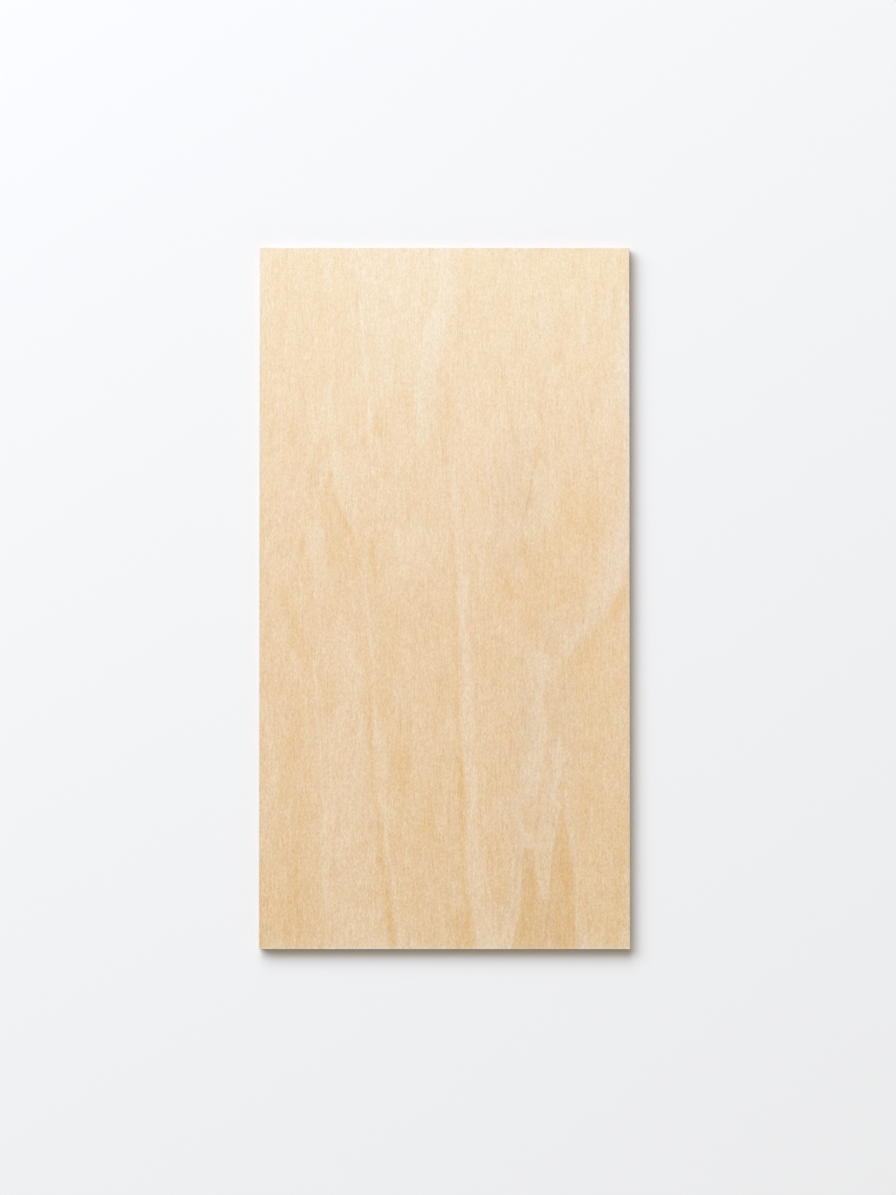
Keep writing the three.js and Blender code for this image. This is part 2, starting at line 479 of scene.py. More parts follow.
# Where the face veneer leans to another colour than the wood round it.
FACE_TINTS = (
    # Where the veneer is a little greyer than elsewhere.
    Tint((0.95, 0.967, 1.01, 1.0), (
        Stroke(1.0, 16.0, ((175, 68, TIP), (90, 66, 20), (35, 60, 14), (10, 62, TIP))),
        Stroke(1.0, 18.0, ((15, 92, TIP), (-30, 90, 16), (-140, 82, 28), (-300, 76, 26))),
        Stroke(1.0, 9.0, (
            (254, 158, TIP), (214, 157, 4), (90, 156, 5), (35, 150, 9), (0, 138, 8), (-34, 115, 6),
            (-60, 100, TIP),
        )),
    )),
    # Where it is more golden.
    Tint((0.99, 1.0, 0.92, 1.0), (
        Stroke(0.65, 12.0, ((110, 118, TIP), (92, 114, 16), (70, 114, 17), (50, 110, 13), (34, 105, TIP))),
        Stroke(0.6, 20.0, ((-30, 140, TIP), (-65, 138, 20), (-110, 140, 20), (-135, 146, TIP))),
        Stroke(0.8, 18.0, ((-180, 150, TIP), (-215, 146, 14), (-260, 142, 16), (-300, 142, 14))),
        Stroke(0.8, 8.0, ((-108, -38, TIP), (-130, -37, 7), (-160, -36, 7), (-180, -36, TIP))),
        Stroke(0.8, 4.0, ((-118, 11, TIP), (-140, 12, 3.5), (-168, 12, 4.5), (-184, 13, TIP))),
        Stroke(0.8, 6.0, ((-178, -16, TIP), (-192, -16, 5), (-205, -16, TIP))),
        Stroke(0.6, 16.0, ((215, 100, TIP), (200, 104, 14), (185, 108, TIP))),
        Stroke(0.6, 24.0, ((240, 130, TIP), (270, 126, 28), (300, 120, 34))),
    )),
    # A pin knot, left where a bud died off in the young tree.
    Tint((1.07, 1.03, 0.82, 1.0), (
        Stroke(1.0, 1.2, (
            (-184, -15, TIP), (-190, -15, 1), (-195, -15, 2.5), (-199, -15, 1.5), (-204, -17, TIP),
        )),
        Stroke(0.7, 1.0, ((-182, -21, TIP), (-189, -19, 1), (-196, -17, TIP))),
    )),
    # A hairline crack that the knife opened, which holds a little shadow.
    Tint((0.87, 0.81, 0.79, 1.0), (
        Stroke(1.0, 0.6, (
            (116, 78, TIP), (105, 75, 0.5), (90, 73, 0.6), (75, 69.5, 0.6), (62, 65, 0.5), (50, 59, TIP),
        )),
        Stroke(0.5, 0.6, ((98, 76, TIP), (86, 74.5, 0.5), (72, 71, 0.5), (58, 66, 0.4), (48, 62, TIP))),
    )),
)

# The back veneer is a plainer piece: a tall flame left of its middle, inside a wider one, and a
# few streaks and flecks.
BACK_FIGURE = (
    Stroke(-0.32, 3.0, (
        (299, -52, 6), (240, -50, 5), (170, -44, 4), (90, -40, 4), (20, -41, 3), (-50, -46, 2.5),
        (-96, -50, TIP),
    )),
    Stroke(-0.3, 2.5, (
        (299, -18, 4), (220, -20, 4), (140, -23, 3.5), (60, -27, 3), (-20, -36, 2.5), (-80, -47, 1.5),
        (-104, -52, TIP),
    )),
    Stroke(0.24, 4.0, ((299, -35, 9), (230, -35, 8), (150, -33, 7), (80, -34, 4), (24, -36, TIP))),
    Stroke(-0.2, 2.0, (
        (299, 12, 2.5), (200, 9, 2), (90, 2, 2), (-10, -8, 1.5), (-90, -26, 1.5), (-150, -46, 1.5),
        (-186, -62, TIP),
    )),
    Stroke(-0.2, 2.0, (
        (299, -84, 2), (200, -82, 2), (90, -76, 1.5), (-20, -70, 1.5), (-110, -66, 1.5), (-186, -64, TIP),
    )),
    Stroke(0.16, 9.0, ((150, -8, TIP), (60, -12, 9), (-40, -22, 10), (-130, -42, 9), (-180, -56, TIP))),
    Stroke(-0.22, 3.0, ((40, 74, TIP), (-30, 76, 4), (-120, 82, 5), (-210, 84, 4), (-300, 90, 5))),
    Stroke(0.2, 3.0, ((-60, 88, TIP), (-130, 93, 3), (-220, 96, 4), (-300, 104, 4))),
    Stroke(-0.16, 9.0, ((299, 124, 10), (210, 120, 14), (110, 118, 12), (30, 112, TIP))),
    Stroke(-0.24, 1.5, ((299, 60, 1.5), (210, 61, 1.5), (120, 57, 1), (40, 58, TIP))),
    Stroke(0.3, 3.5, ((176, 84, TIP), (162, 84, 4), (148, 83, 3), (136, 83, TIP))),
    Stroke(0.28, 3.0, ((-216, 24, TIP), (-230, 24, 4), (-244, 25, 3.5), (-258, 25, TIP))),
    Stroke(0.26, 2.5, ((44, -118, TIP), (30, -118, 3), (14, -119, 3), (-2, -120, TIP))),
    Stroke(-0.2, 3.0, ((-60, -128, TIP), (-140, -126, 4), (-220, -130, 4), (-300, -128, 5))),
)


@dataclass(frozen=True)
class SheetSizes:
    """The finished sheet's sizes in metres.

    cell is the spacing of the vertices in its pieces' meshes, and the segments are the flats that
    make each round.
    """

    width: float
    length: float
    thickness: float
    corner_radius: float = 0.8 * MM
    corner_segments: int = 8
    arris_radius: float = 0.4 * MM
    arris_segments: int = 5
    cell: float = 10 * MM


@dataclass(frozen=True)
class Spot:
    """The point of a broad face that is being shaded, as sockets in its finish's tree.

    place is where it lies in mm, and swayed is that place shifted as the fibres sway. across and
    along are its shares of the figure's field, and height is how far up the sheet it lies in mm
    from the middle, all three frayed. depth is how strongly the grain shows there.
    """

    tree: Tree
    place: Socket
    swayed: Socket
    across: Socket
    along: Socket
    height: Socket
    depth: Socket


@dataclass(frozen=True)
class RotaryCutBasswood:
    """The broad face of a basswood veneer, rotary cut and sanded to about 240 grit.

    A pale, close, even wood: the eye gets a soft satin face, a faint figure of flames and streaks
    where the knife ran in and out of the growth rings, and short darker dashes along the grain,
    which are the rays cut end on.
    """

    figure: tuple[Stroke, ...]
    tints: tuple[Tint, ...] = ()
    shift: float = 0.0
    # Paler towards the far end: partly the wood's own colour, partly a painted sheen of the window light.
    far_end: str = "f5e7d2"
    middle: str = "ecd5b8"
    near_end: str = "e6cdac"
    brown: Colour = (0.94, 0.803, 0.577, 1.0)
    # How brown the wood is between the strokes of its figure.
    plain_tone: float = 0.38
    # The grain shows less towards the far end.
    far_end_depth: float = 0.68
    # How the fibres sway and curl in mm, and how that frays the figure's sides.
    drift: tuple[Swing, ...] = ((Streaks(30.0, 70.0), 2.5), (Streaks(8.0, 14.0), 0.9))
    fray: tuple[Swing, ...] = ((Streaks(14.0, 60.0), 1.2), (Streaks(2.0, 16.0, 2.0), 0.8))
    # Cloudy patches of tone and how strong each is, and the patches that break up the tints.
    mottle: tuple[Swing, ...] = (
        (Streaks(22.0, 80.0), 0.28),
        (Streaks(9.0, 34.0), 0.36),
        (Streaks(3.4, 9.0), 0.38),
        (Streaks(3.0, 45.0), 0.24),
    )
    tint_patches: Streaks = Streaks(6.0, 9.0)
    # Basswood's vessels are some 0.07 mm wide and 0.3 mm long, too fine to show, so they and the
    # rays are drawn as coarse as the dashes that the eye makes of them. The finest comes last.
    shading: tuple[Shading, ...] = (
        (Streaks(11.0, 22.0), (0.008, -0.014, 0.0)),
        (Streaks(2.6, 4.5), (0.014, -0.018, 0.004)),
        (Streaks(1.2, 18.0), (0.03, 0.044, 0.072)),
        (Streaks(1.2, 5.0), (0.038, 0.053, 0.085)),
        (Streaks(1.05, 2.1, 2.0), (0.12, 0.164, 0.242)),
        (Streaks(0.22, 2.2, 2.0), (0.045, 0.07, 0.11)),
    )
    # Here and there vessels run on as fine dark threads, which stand in loose groups.
    thread: Colour = (0.9, 0.84, 0.75, 1.0)
    threads: Streaks = Streaks(0.9, 30.0)
    thread_shift: float = 31.0
    thread_levels: tuple[float, float] = (0.58, 0.95)
    groups: Streaks = Streaks(22.0, 60.0)
    group_shift: float = 57.0
    # A painted shade greys the wood towards each arris and dulls the highlight that it catches. It
    # starts and is full this far from the arris, in mm.
    arris_shade: Colour = (0.925, 0.99, 1.15, 1.0)
    arris_shade_reach: tuple[float, float] = (2.8, 0.6)
    # The face is paler over the last 18 mm of the near end, and a painted highlight runs along the
    # near arris. Each has where it starts and is full, in mm from that end, and its colour.
    near_bands: tuple[tuple[float, float, Colour], ...] = (
        (18.0, 1.5, (1.005, 1.045, 1.09, 1.0)),
        (1.4, 0.9, (1.15, 1.21, 1.33, 1.0)),
    )
    # The nap of sanded fibres shades most of the gloss that polished wood would have. relief is how
    # deep the finest dashes are, in metres.
    roughness: tuple[float, float] = (0.62, 0.78)
    gloss: float = 0.2
    relief: float = 0.03 * MM
    relief_strength: float = 0.35

    def build(self, name: str, sheet: SheetSizes) -> bpy.types.Material:
        """Makes the finish.

        Args:
            name: The material's name.
            sheet: The sheet that it covers.

        Returns:
            The material.
        """
        material = new_material(name)
        tree = material.node_tree
        spot = self.spot(tree, sheet)
        # The ground colour pales towards the far end, partly with a painted sheen.
        ramp = add(tree, "ValToRGB", {0: spot.along})
        stops = ramp.color_ramp.elements
        stops[0].color = linear(self.near_end)
        stops[1].color = linear(self.far_end)
        stops.new(0.5).color = linear(self.middle)
        colour = layered(tree, ramp.outputs[0], self.figured(spot))
        for count, (streaks, shares) in enumerate(self.shading):
            dashes = streaks.lay(tree, spot.swayed, self.shift + count)
            light = (*(1 + share for share in shares), 1.0)
            dark = (*(1 - share for share in shares), 1.0)
            shade = add(tree, "Mix", {0: dashes, 6: light, 7: dark}, data_type="RGBA").outputs[2]
            colour = layered(tree, colour, [(spot.depth, shade)])
        colour = layered(tree, colour, [self.threaded(spot)])
        colour = layered(tree, colour, self.arris_and_near_end_tints(spot, sheet))

        # The last and finest dashes are the ones that a finger feels.
        low, high = self.roughness
        rough = add(tree, "MapRange", {"Value": dashes, "To Min": low, "To Max": high}).outputs[0]
        relief = add(tree, "Bump", {
            "Height": dashes, "Strength": self.relief_strength, "Distance": self.relief,
        }).outputs[0]
        shader = add(tree, "BsdfPrincipled", {
            "Base Color": colour, "Roughness": rough, "Normal": relief, "IOR": IOR,
            "Specular IOR Level": self.gloss,
        })
        add(tree, "OutputMaterial", {0: shader.outputs[0]})
        return material

    def spot(self, tree: Tree, sheet: SheetSizes) -> Spot:
        """Works out where the shaded point lies in the wood.

        Args:
            tree: The material's tree.
            sheet: The sheet.

        Returns:
            The point.
        """
        place = place_in_mm(tree)
        swayed = self.wandering(tree, place, self.drift)
        # Both shares come from the frayed place, which keeps its height, so that the renderer has
        # them together and works the strokes out one by one. It can't hold every stroke at once.
        frayed = add(tree, "SeparateXYZ", {0: self.wandering(tree, place, self.fray)}).outputs
        height = frayed["Y"]
        half = sheet.length / MM / 2
        along = add(tree, "MapRange", {"Value": height, "From Min": -half, "From Max": half}).outputs[0]
        across = add(tree, "Math", {
            0: frayed["X"], 1: 1 / FIGURE_REACH, 2: 0.5,
        }, operation="MULTIPLY_ADD").outputs[0]
        depth = add(tree, "MapRange", {
            "Value": along, "To Min": 1.0, "To Max": self.far_end_depth,
        }).outputs[0]
        return Spot(tree, place, swayed, across, along, height, depth)

    def figured(self, spot: Spot) -> Iterator[Layer]:
        """Yields the brown of the wood's figure, and the tints that parts of it lean to.

        Args:
            spot: The shaded point.

        Returns:
            The layers, one by one.
        """
        yield self.tone(spot), self.brown
        patches = self.tint_patches.lay(spot.tree, spot.swayed, self.shift)
        for tint in self.tints:
            cover = self.strokes(spot, tint.strokes, 0.0)
            cover = add(spot.tree, "Math", {0: cover, 1: patches}, operation="MULTIPLY").outputs[0]
            yield cover, tint.colour

    def threaded(self, spot: Spot) -> Layer:
        """Makes the dark threads.

        Args:
            spot: The shaded point.

        Returns:
            Their layer.
        """
        tree = spot.tree
        low, high = self.thread_levels
        threads = self.threads.lay(tree, spot.swayed, self.shift + self.thread_shift)
        threads = add(tree, "MapRange", {"Value": threads, "From Min": low, "From Max": high}).outputs[0]
        groups = self.groups.lay(tree, spot.swayed, self.shift + self.group_shift)
        threads = add(tree, "Math", {0: threads, 1: groups}, operation="MULTIPLY").outputs[0]
        return threads, self.thread

    def arris_and_near_end_tints(self, spot: Spot, sheet: SheetSizes) -> Iterator[Layer]:
        """Yields the painted shade by the arrises, then the paler near end and the near arris's painted
        highlight.

        Args:
            spot: The shaded point.
            sheet: The sheet.

        Returns:
            The layers, one by one.
        """
        tree = spot.tree
        # Painted shade, greying the wood near every arris.
        start, full = self.arris_shade_reach
        rim = self.to_rim(spot, sheet)
        arris_shade = add(tree, "MapRange", {"Value": rim, "From Min": start, "From Max": full}).outputs[0]
        yield arris_shade, self.arris_shade
        # The paler near end, then a painted highlight along the near arris.
        half = sheet.length / MM / 2
        for start, full, tint in self.near_bands:
            near = add(tree, "MapRange", {
                "Value": spot.height, "From Min": start - half, "From Max": full - half,
            }).outputs[0]
            yield near, tint

    def to_rim(self, spot: Spot, sheet: SheetSizes) -> Socket:
        """Measures how far the point lies from the nearest arris.

        Args:
            spot: The shaded point.
            sheet: The sheet.

        Returns:
            The distance in mm.
        """
        tree = spot.tree
        from_middle = add(tree, "VectorMath", {0: spot.place}, operation="ABSOLUTE").outputs[0]
        reach = (sheet.width / MM / 2, sheet.length / MM / 2, 0.0)
        gap = add(tree, "VectorMath", {0: reach, 1: from_middle}, operation="SUBTRACT").outputs[0]
        gap = add(tree, "SeparateXYZ", {0: gap}).outputs
        return add(tree, "Math", {0: gap["X"], 1: gap["Y"]}, operation="MINIMUM").outputs[0]

    def wandering(self, tree: Tree, place: Socket, swings: tuple[Swing, ...]) -> Socket:
        """Shifts a place sideways as the fibres wander.

        Args:
            tree: The material's tree.
            place: Position in mm.
            swings: Patterns and the width of the swing that each gives, in mm.

        Returns:
            The shifted position in mm.
        """
        for streaks, swing in swings:
            pattern = streaks.lay(tree, place, self.shift + swing)
            offset = add(tree, "Math", {0: pattern, 1: 0.5}, operation="SUBTRACT").outputs[0]
            offset = add(tree, "Math", {0: offset, 1: swing}, operation="MULTIPLY").outputs[0]
            sideways = add(tree, "CombineXYZ", {"X": offset}).outputs[0]
            place = add(tree, "VectorMath", {0: place, 1: sideways}, operation="ADD").outputs[0]
        return place

    def tone(self, spot: Spot) -> Socket:
        """Adds the figure and its mottling to the tree.

        Args:
            spot: The shaded point.

        Returns:
            How brown the wood is there, from 0 to 1.
        """
        tree = spot.tree
        total = self.strokes(spot, self.figure, self.plain_tone)
        for streaks, weight in self.mottle:
            patch = streaks.lay(tree, spot.swayed, self.shift + streaks.width)
            lifted = add(tree, "Math", {0: patch, 1: 0.5}, operation="SUBTRACT").outputs[0]
            lifted = add(tree, "Math", {0: lifted, 1: spot.depth}, operation="MULTIPLY").outputs[0]
            total = add(tree, "Math", {
                0: lifted, 1: weight, 2: total,
            }, operation="MULTIPLY_ADD").outputs[0]
        return add(tree, "Clamp", {0: total}).outputs[0]

    def strokes(
        self, spot: Spot, figure: tuple[Stroke, ...], total: Socket | float
    ) -> Socket | float:
        """Adds strokes' tones to a running total.

        Args:
            spot: The shaded point.
            figure: The strokes.
            total: The tone to begin with.

        Returns:
            The tone with the strokes in it.
        """
        tree = spot.tree
        for stroke in figure:
            feather = stroke.feather / FIGURE_REACH
            middle = self.course(spot, stroke.middles())
            half = self.course(spot, stroke.halves())
            off = add(tree, "Math", {0: spot.across, 1: middle}, operation="SUBTRACT").outputs[0]
            off = add(tree, "Math", {0: off}, operation="ABSOLUTE").outputs[0]
            inside = add(tree, "Math", {0: half, 1: off}, operation="SUBTRACT").outputs[0]
            # A smooth step ends by itself. A clamp as well would keep every stroke waiting.
            cover = add(tree, "MapRange", {
                "Value": inside, "From Min": -feather, "From Max": feather, "To Max": stroke.tone,
            }, interpolation_type="SMOOTHSTEP", clamp=False).outputs[0]
            total = add(tree, "Math", {0: cover, 1: total}).outputs[0]
        return total

    def course(self, spot: Spot, points: list[tuple[float, float]]) -> Socket:
        """Adds a smooth curve through points.

        Args:
            spot: The shaded point.
            points: Shares of the figure's length, in any order, each with the value there.

        Returns:
            The curve's value at the shaded point.
        """
        node = add(spot.tree, "FloatCurve", {"Value": spot.along})
        mapping = node.mapping
        mapping.use_clip = False
        mapping.extend = "HORIZONTAL"
        curve = mapping.curves[0]
        first, *between, last = sorted(points)
        # Past its ends a curve holds their values, which it only has right on a step of its table.
        for point, (height, value) in zip(curve.points, (first, last), strict=True):
            point.location = (round(height * CURVE_STEPS) / CURVE_STEPS, value)
        for height, value in between:
            curve.points.new(height, value)
        for point in curve.points:
            point.handle_type = "AUTO_CLAMPED"
        mapping.update()
        return node.outputs[0]


@dataclass(frozen=True)
class SawnBasswoodEdge:
    """The edge of a basswood veneer, sawn and sanded.

    Where the fibres run along the edge it is pale and finely lined. Where they end in it, it is
    browner and duller, with fine pores, and shows the short slanting checks that the lathe's
    knife opens in the veneer.
    """

    grain: Grain
    shift: float
    long_grain: str = "d9bd93"
    end_grain: str = "b08c63"
    # How squarely the surface must face along the fibres to begin to show end grain, and to show
    # nothing else.
    end_levels: tuple[float, float] = (0.6, 0.8)
    fibre: Colour = (0.82, 0.77, 0.68, 1.0)
    fibres: Streaks = Streaks(0.3, 14.0, 2.0)
    patch: Colour = (0.93, 0.9, 0.85, 1.0)
    patches: Streaks = Streaks(5.0, 40.0)
    # Growth rings lie nearly flat in a peeled veneer, so an edge cuts them as faint layers.
    ring: Colour = (0.8, 0.74, 0.64, 1.0)
    rings: Clouds = Clouds((30.0, 30.0, 0.45), levels=(0.0, 1.0))
    # The lathe's checks are short cracks, which lean over by this much for each mm that they climb.
    check: Colour = (0.62, 0.52, 0.42, 1.0)
    checks: Clouds = Clouds((0.5, 1.0, 2.4), detail=0.0, levels=(0.64, 0.72))
    lean: float = 1.3
    roughness: tuple[float, float] = (0.55, 0.75)
    relief: float = 0.04 * MM
    relief_strength: float = 0.6

    def build(self, name: str) -> bpy.types.Material:
        """Makes the finish.

        Args:
            name: The material's name.

        Returns:
            The material.
        """
        material = new_material(name)
        tree = material.node_tree
        place = place_in_mm(tree)
        low, high = self.end_levels
        facing = add(tree, "TexCoord").outputs["Normal"]
        facing = add(tree, "SeparateXYZ", {0: facing}).outputs[self.grain.value]
        facing = add(tree, "Math", {0: facing}, operation="ABSOLUTE").outputs[0]
        ends = add(tree, "MapRange", {"Value": facing, "From Min": low, "From Max": high}).outputs[0]

        fibres = self.fibres.lay(tree, place, self.shift, self.grain)
        patches = self.patches.lay(tree, place, self.shift, self.grain)
        rings = self.rings.lay(tree, place, self.shift)
        checks = self.checks.lay(tree, self.leaning(tree, place), self.shift)
        checks = add(tree, "Math", {0: checks, 1: ends}, operation="MULTIPLY").outputs[0]
        wood = {0: ends, 6: linear(self.long_grain), 7: linear(self.end_grain)}
        colour = layered(tree, add(tree, "Mix", wood, data_type="RGBA").outputs[2], (
            (fibres, self.fibre), (patches, self.patch), (rings, self.ring), (checks, self.check),
        ))

        low, high = self.roughness
        rough = add(tree, "MapRange", {"Value": ends, "To Min": low, "To Max": high}).outputs[0]
        height = add(tree, "Math", {0: fibres, 1: checks}, operation="SUBTRACT").outputs[0]
        relief = add(tree, "Bump", {
            "Height": height, "Strength": self.relief_strength, "Distance": self.relief,
        }).outputs[0]
        shader = add(tree, "BsdfPrincipled", {
            "Base Color": colour, "Roughness": rough, "Normal": relief, "IOR": IOR,
        })
        add(tree, "OutputMaterial", {0: shader.outputs[0]})
        return material

    def leaning(self, tree: Tree, place: Socket) -> Socket:
        """Lays a place out along the side that the fibres end in, so that a pattern leans there.

        Args:
            tree: The material's tree.
            place: Position in mm.

        Returns:
            Place along the side, set over as it climbs, and place up the side.
        """
        parts = add(tree, "SeparateXYZ", {0: place}).outputs
        sideways = parts["X"] if self.grain is Grain.ALONG else parts["Y"]
        leant = add(tree, "Math", {
            0: parts["Z"], 1: self.lean, 2: sideways,
        }, operation="MULTIPLY_ADD").outputs[0]
        return add(tree, "CombineXYZ", {"X": leant, "Z": parts["Z"]}).outputs[0]


@dataclass(frozen=True)
class CuredGlue:
    """Urea resin glue, cured hard between two veneers.

    A thin line, browner than the wood, that darkens and pales with how much of it soaked in.
    """

    thin: str = "b08a5e"
    thick: str = "7d5a38"
    soaked: Streaks = Streaks(3.0, 7.0, 3.0)
    roughness: float = 0.45

    def build(self, name: str) -> bpy.types.Material:
        """Makes the finish.

        Args:
            name: The material's name.

        Returns:
            The material.
        """
        material = new_material(name)
        tree = material.node_tree
        soaked = self.soaked.lay(tree, place_in_mm(tree), shift=0.0)
        resin = {0: soaked, 6: linear(self.thin), 7: linear(self.thick)}
        colour = add(tree, "Mix", resin, data_type="RGBA").outputs[2]
        shader = add(tree, "BsdfPrincipled", {
            "Base Color": colour, "Roughness": self.roughness, "IOR": IOR,
        })
        add(tree, "OutputMaterial", {0: shader.outputs[0]})
        return material


# The swells in a pressed bed: how many there are, and their length and height in mm.
SWELLS = 4
SWELL_LENGTH = (45, 170)
SWELL_HEIGHT = (0.012, 0.022)


@dataclass(frozen=True)
class Swell:
    """One swell in a veneer's bedding. Lengths are in metres, angles in radians."""

    length: float
    heading: float
    phase: float
    height: float

    def at(self, x: float, y: float) -> float:
        """Gives how far the swell lifts the bedding over one point."""
        forward = x * math.cos(self.heading) + y * math.sin(self.heading)
        return self.height * math.sin(math.tau * forward / self.length + self.phase)


@dataclass(frozen=True)
class Bed:
    """A surface that a veneer or a glue film lies on, level apart from its swells."""

    height: float
    swells: tuple[Swell, ...] = ()

    def at(self, x: float, y: float) -> float:
        """Gives the bed's height over one point."""
        return self.height + sum(swell.at(x, y) for swell in self.swells)

    def moved(self, up: float) -> "Bed":
        """Gives the same bed at another height."""
        return Bed(self.height + up, self.swells)

    @classmethod
    def pressed(cls, height: float, rng: random.Random) -> "Bed":
        """Makes the uneven bed between two pressed veneers.

        Args:
            height: Its mean height in metres.
            rng: Draws the swells.

        Returns:
            The bed.
        """
        return cls(height, tuple(
            Swell(
                length=rng.uniform(*SWELL_LENGTH) * MM,
                heading=rng.uniform(0, math.pi),
                phase=rng.uniform(0, math.tau),
                height=rng.uniform(*SWELL_HEIGHT) * MM,
            )
            for _ in range(SWELLS)
        ))


# How far a facet's normal points up or down. Over the first it belongs to a broad face, and under
# the second to an edge. The broad face's finish runs over the arris as far as the third.
BROAD = 0.9
UPRIGHT = 0.1
FINISH_ENDS = 0.5

# Vertices this near to each other, in metres, are in the same place.
SAME_PLACE = 1e-6

# A piece keeps a crisp line where its facets meet at more than this angle.
CREASE = math.radians(40)


@dataclass(frozen=True)
class Slab:
    """A thin layer between two beds, trimmed to the sheet's outline.

    recess is how far its rim stands back from the outline along X and along Y, in metres. eased is
    the side whose arris it has, if it has one.
    """

    sheet: SheetSizes
    low: Bed
    high: Bed
    recess: tuple[float, float]
    eased: Side | None = None

    def mesh(self, name: str) -> bpy.types.Mesh:
        """Models the layer.

        Args:
            name: The mesh's name.

        Returns:
            A closed mesh in the sheet's frame.
        """
        sheet = self.sheet
        width = sheet.width - 2 * self.recess[0]
        length = sheet.length - 2 * self.recess[1]
        bm = bmesh.new()
        columns, rows = round(width / sheet.cell), round(length / sheet.cell)
        bmesh.ops.create_grid(bm, x_segments=columns, y_segments=rows, size=0.5)
        bmesh.ops.scale(bm, vec=(width, length, 1), verts=bm.verts)
        raised = bmesh.ops.extrude_face_region(bm, geom=bm.faces[:])
        upper = {v for v in raised["geom"] if isinstance(v, bmesh.types.BMVert)}
        for vert in bm.verts:
            bed = self.high if vert in upper else self.low
            vert.co.z = bed.at(vert.co.x, vert.co.y)
        bmesh.ops.recalc_face_normals(bm, faces=bm.faces)

        corners = [e for e in bm.edges if all(self.at_corner(v, width, length) for v in e.verts)]
        self.bevel(bm, corners, sheet.corner_radius, sheet.corner_segments)
        if self.eased:
            self.bevel(bm, self.rim(bm, self.eased), sheet.arris_radius, sheet.arris_segments)

        made = bpy.data.meshes.new(name)
        bm.to_mesh(made)
        bm.free()
        return made

    def at_corner(self, vert: bmesh.types.BMVert, width: float, length: float) -> bool:
        """Says whether a vertex stands in one of the four corners."""
        short = (abs(abs(vert.co.x) - width / 2), abs(abs(vert.co.y) - length / 2))
        return max(short) < SAME_PLACE

    def rim(self, bm: bmesh.types.BMesh, side: Side) -> list[bmesh.types.BMEdge]:
        """Finds the mesh edges between a broad face and the upright sides round it.

        Args:
            bm: The layer's mesh.
            side: Which broad face.

        Returns:
            The mesh edges of that rim.
        """
        bm.normal_update()
        return [
            edge
            for edge in bm.edges
            if any(face.normal.z * side.value > BROAD for face in edge.link_faces)
            and any(abs(face.normal.z) < UPRIGHT for face in edge.link_faces)
        ]

    def bevel(
        self, bm: bmesh.types.BMesh, edges: list[bmesh.types.BMEdge], radius: float, segments: int
    ) -> None:
        """Rounds mesh edges off.

        Args:
            bm: The layer's mesh.
            edges: The mesh edges to round.
            radius: The round's radius in metres.
            segments: How many flats make the round.
        """
        bmesh.ops.bevel(
            bm,
            geom=edges,
            offset=radius,
            offset_type="OFFSET",
            affect="EDGES",
            segments=segments,
            profile=0.5,
            material=-1,
        )


def finished_piece(name: str, mesh: bpy.types.Mesh) -> bpy.types.Object:
    """Puts a mesh into the scene as a piece of the sheet.

    Args:
        name: The piece's name.
        mesh: Its mesh, in the sheet's frame.

    Returns:
        The piece, smooth-shaded round its arrises and riding on the sheet's body.
    """
    mesh.shade_smooth()
    mesh.set_sharp_from_angle(angle=CREASE)
    piece = bpy.data.objects.new(name, mesh)
    bpy.context.scene.collection.objects.link(piece)
    flattened = piece.modifiers.new("level_faces", "WEIGHTED_NORMAL")
    flattened.keep_sharp = True
    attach(piece, ROOT_BODY)
    LOG.info("%s: %d faces", name, len(mesh.polygons))
    return piece


@dataclass(frozen=True)
class Veneer:
    """One ply: its CAD node and the way its fibres run.

    An outer ply also has the finish of its broad face, and the side of the sheet that this is.
    """

    node: str
    grain: Grain
    face: RotaryCutBasswood | None = None
    side: Side | None = None

    def build(self, sheet: SheetSizes, low: Bed, high: Bed, proud: float, shift: float) -> None:
        """Models and dresses the ply.

        Args:
            sheet: The finished sheet.
            low: What its lower face beds on.
            high: What its upper face beds against.
            proud: How far its end grain stands out past its long grain, in metres.
            shift: Sets its wood's pattern off from its neighbours'.
        """
        recess = (proud, 0.0) if self.grain is Grain.ALONG else (0.0, proud)
        slab = Slab(sheet, low, high, recess, self.side)
        piece = finished_piece("sanded_" + self.node, slab.mesh("sanded_" + self.node))
        edge = SawnBasswoodEdge(self.grain, shift).build("sawn_edge_of_" + self.node)
        piece.data.materials.append(edge)
        if self.face:
            piece.data.materials.append(self.face.build("rotary_cut_" + self.node, sheet))
            for polygon in piece.data.polygons:
                polygon.material_index = int(polygon.normal.z * self.side.value > FINISH_ENDS)
        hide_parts(self.node)


# The lay-up, from the back of the sheet to its face.
LAY_UP = (
    Veneer("back_veneer", Grain.ALONG, RotaryCutBasswood(BACK_FIGURE, shift=40.0), Side.BACK),
    Veneer("lower_crossband", Grain.ACROSS),
    Veneer("lower_inner_ply", Grain.ALONG),
    Veneer("core_veneer", Grain.ACROSS),
    Veneer("upper_inner_ply", Grain.ALONG),
    Veneer("upper_crossband", Grain.ACROSS),
    Veneer("face_veneer", Grain.ALONG, RotaryCutBasswood(FACE_FIGURE, FACE_TINTS), Side.FACE),
)


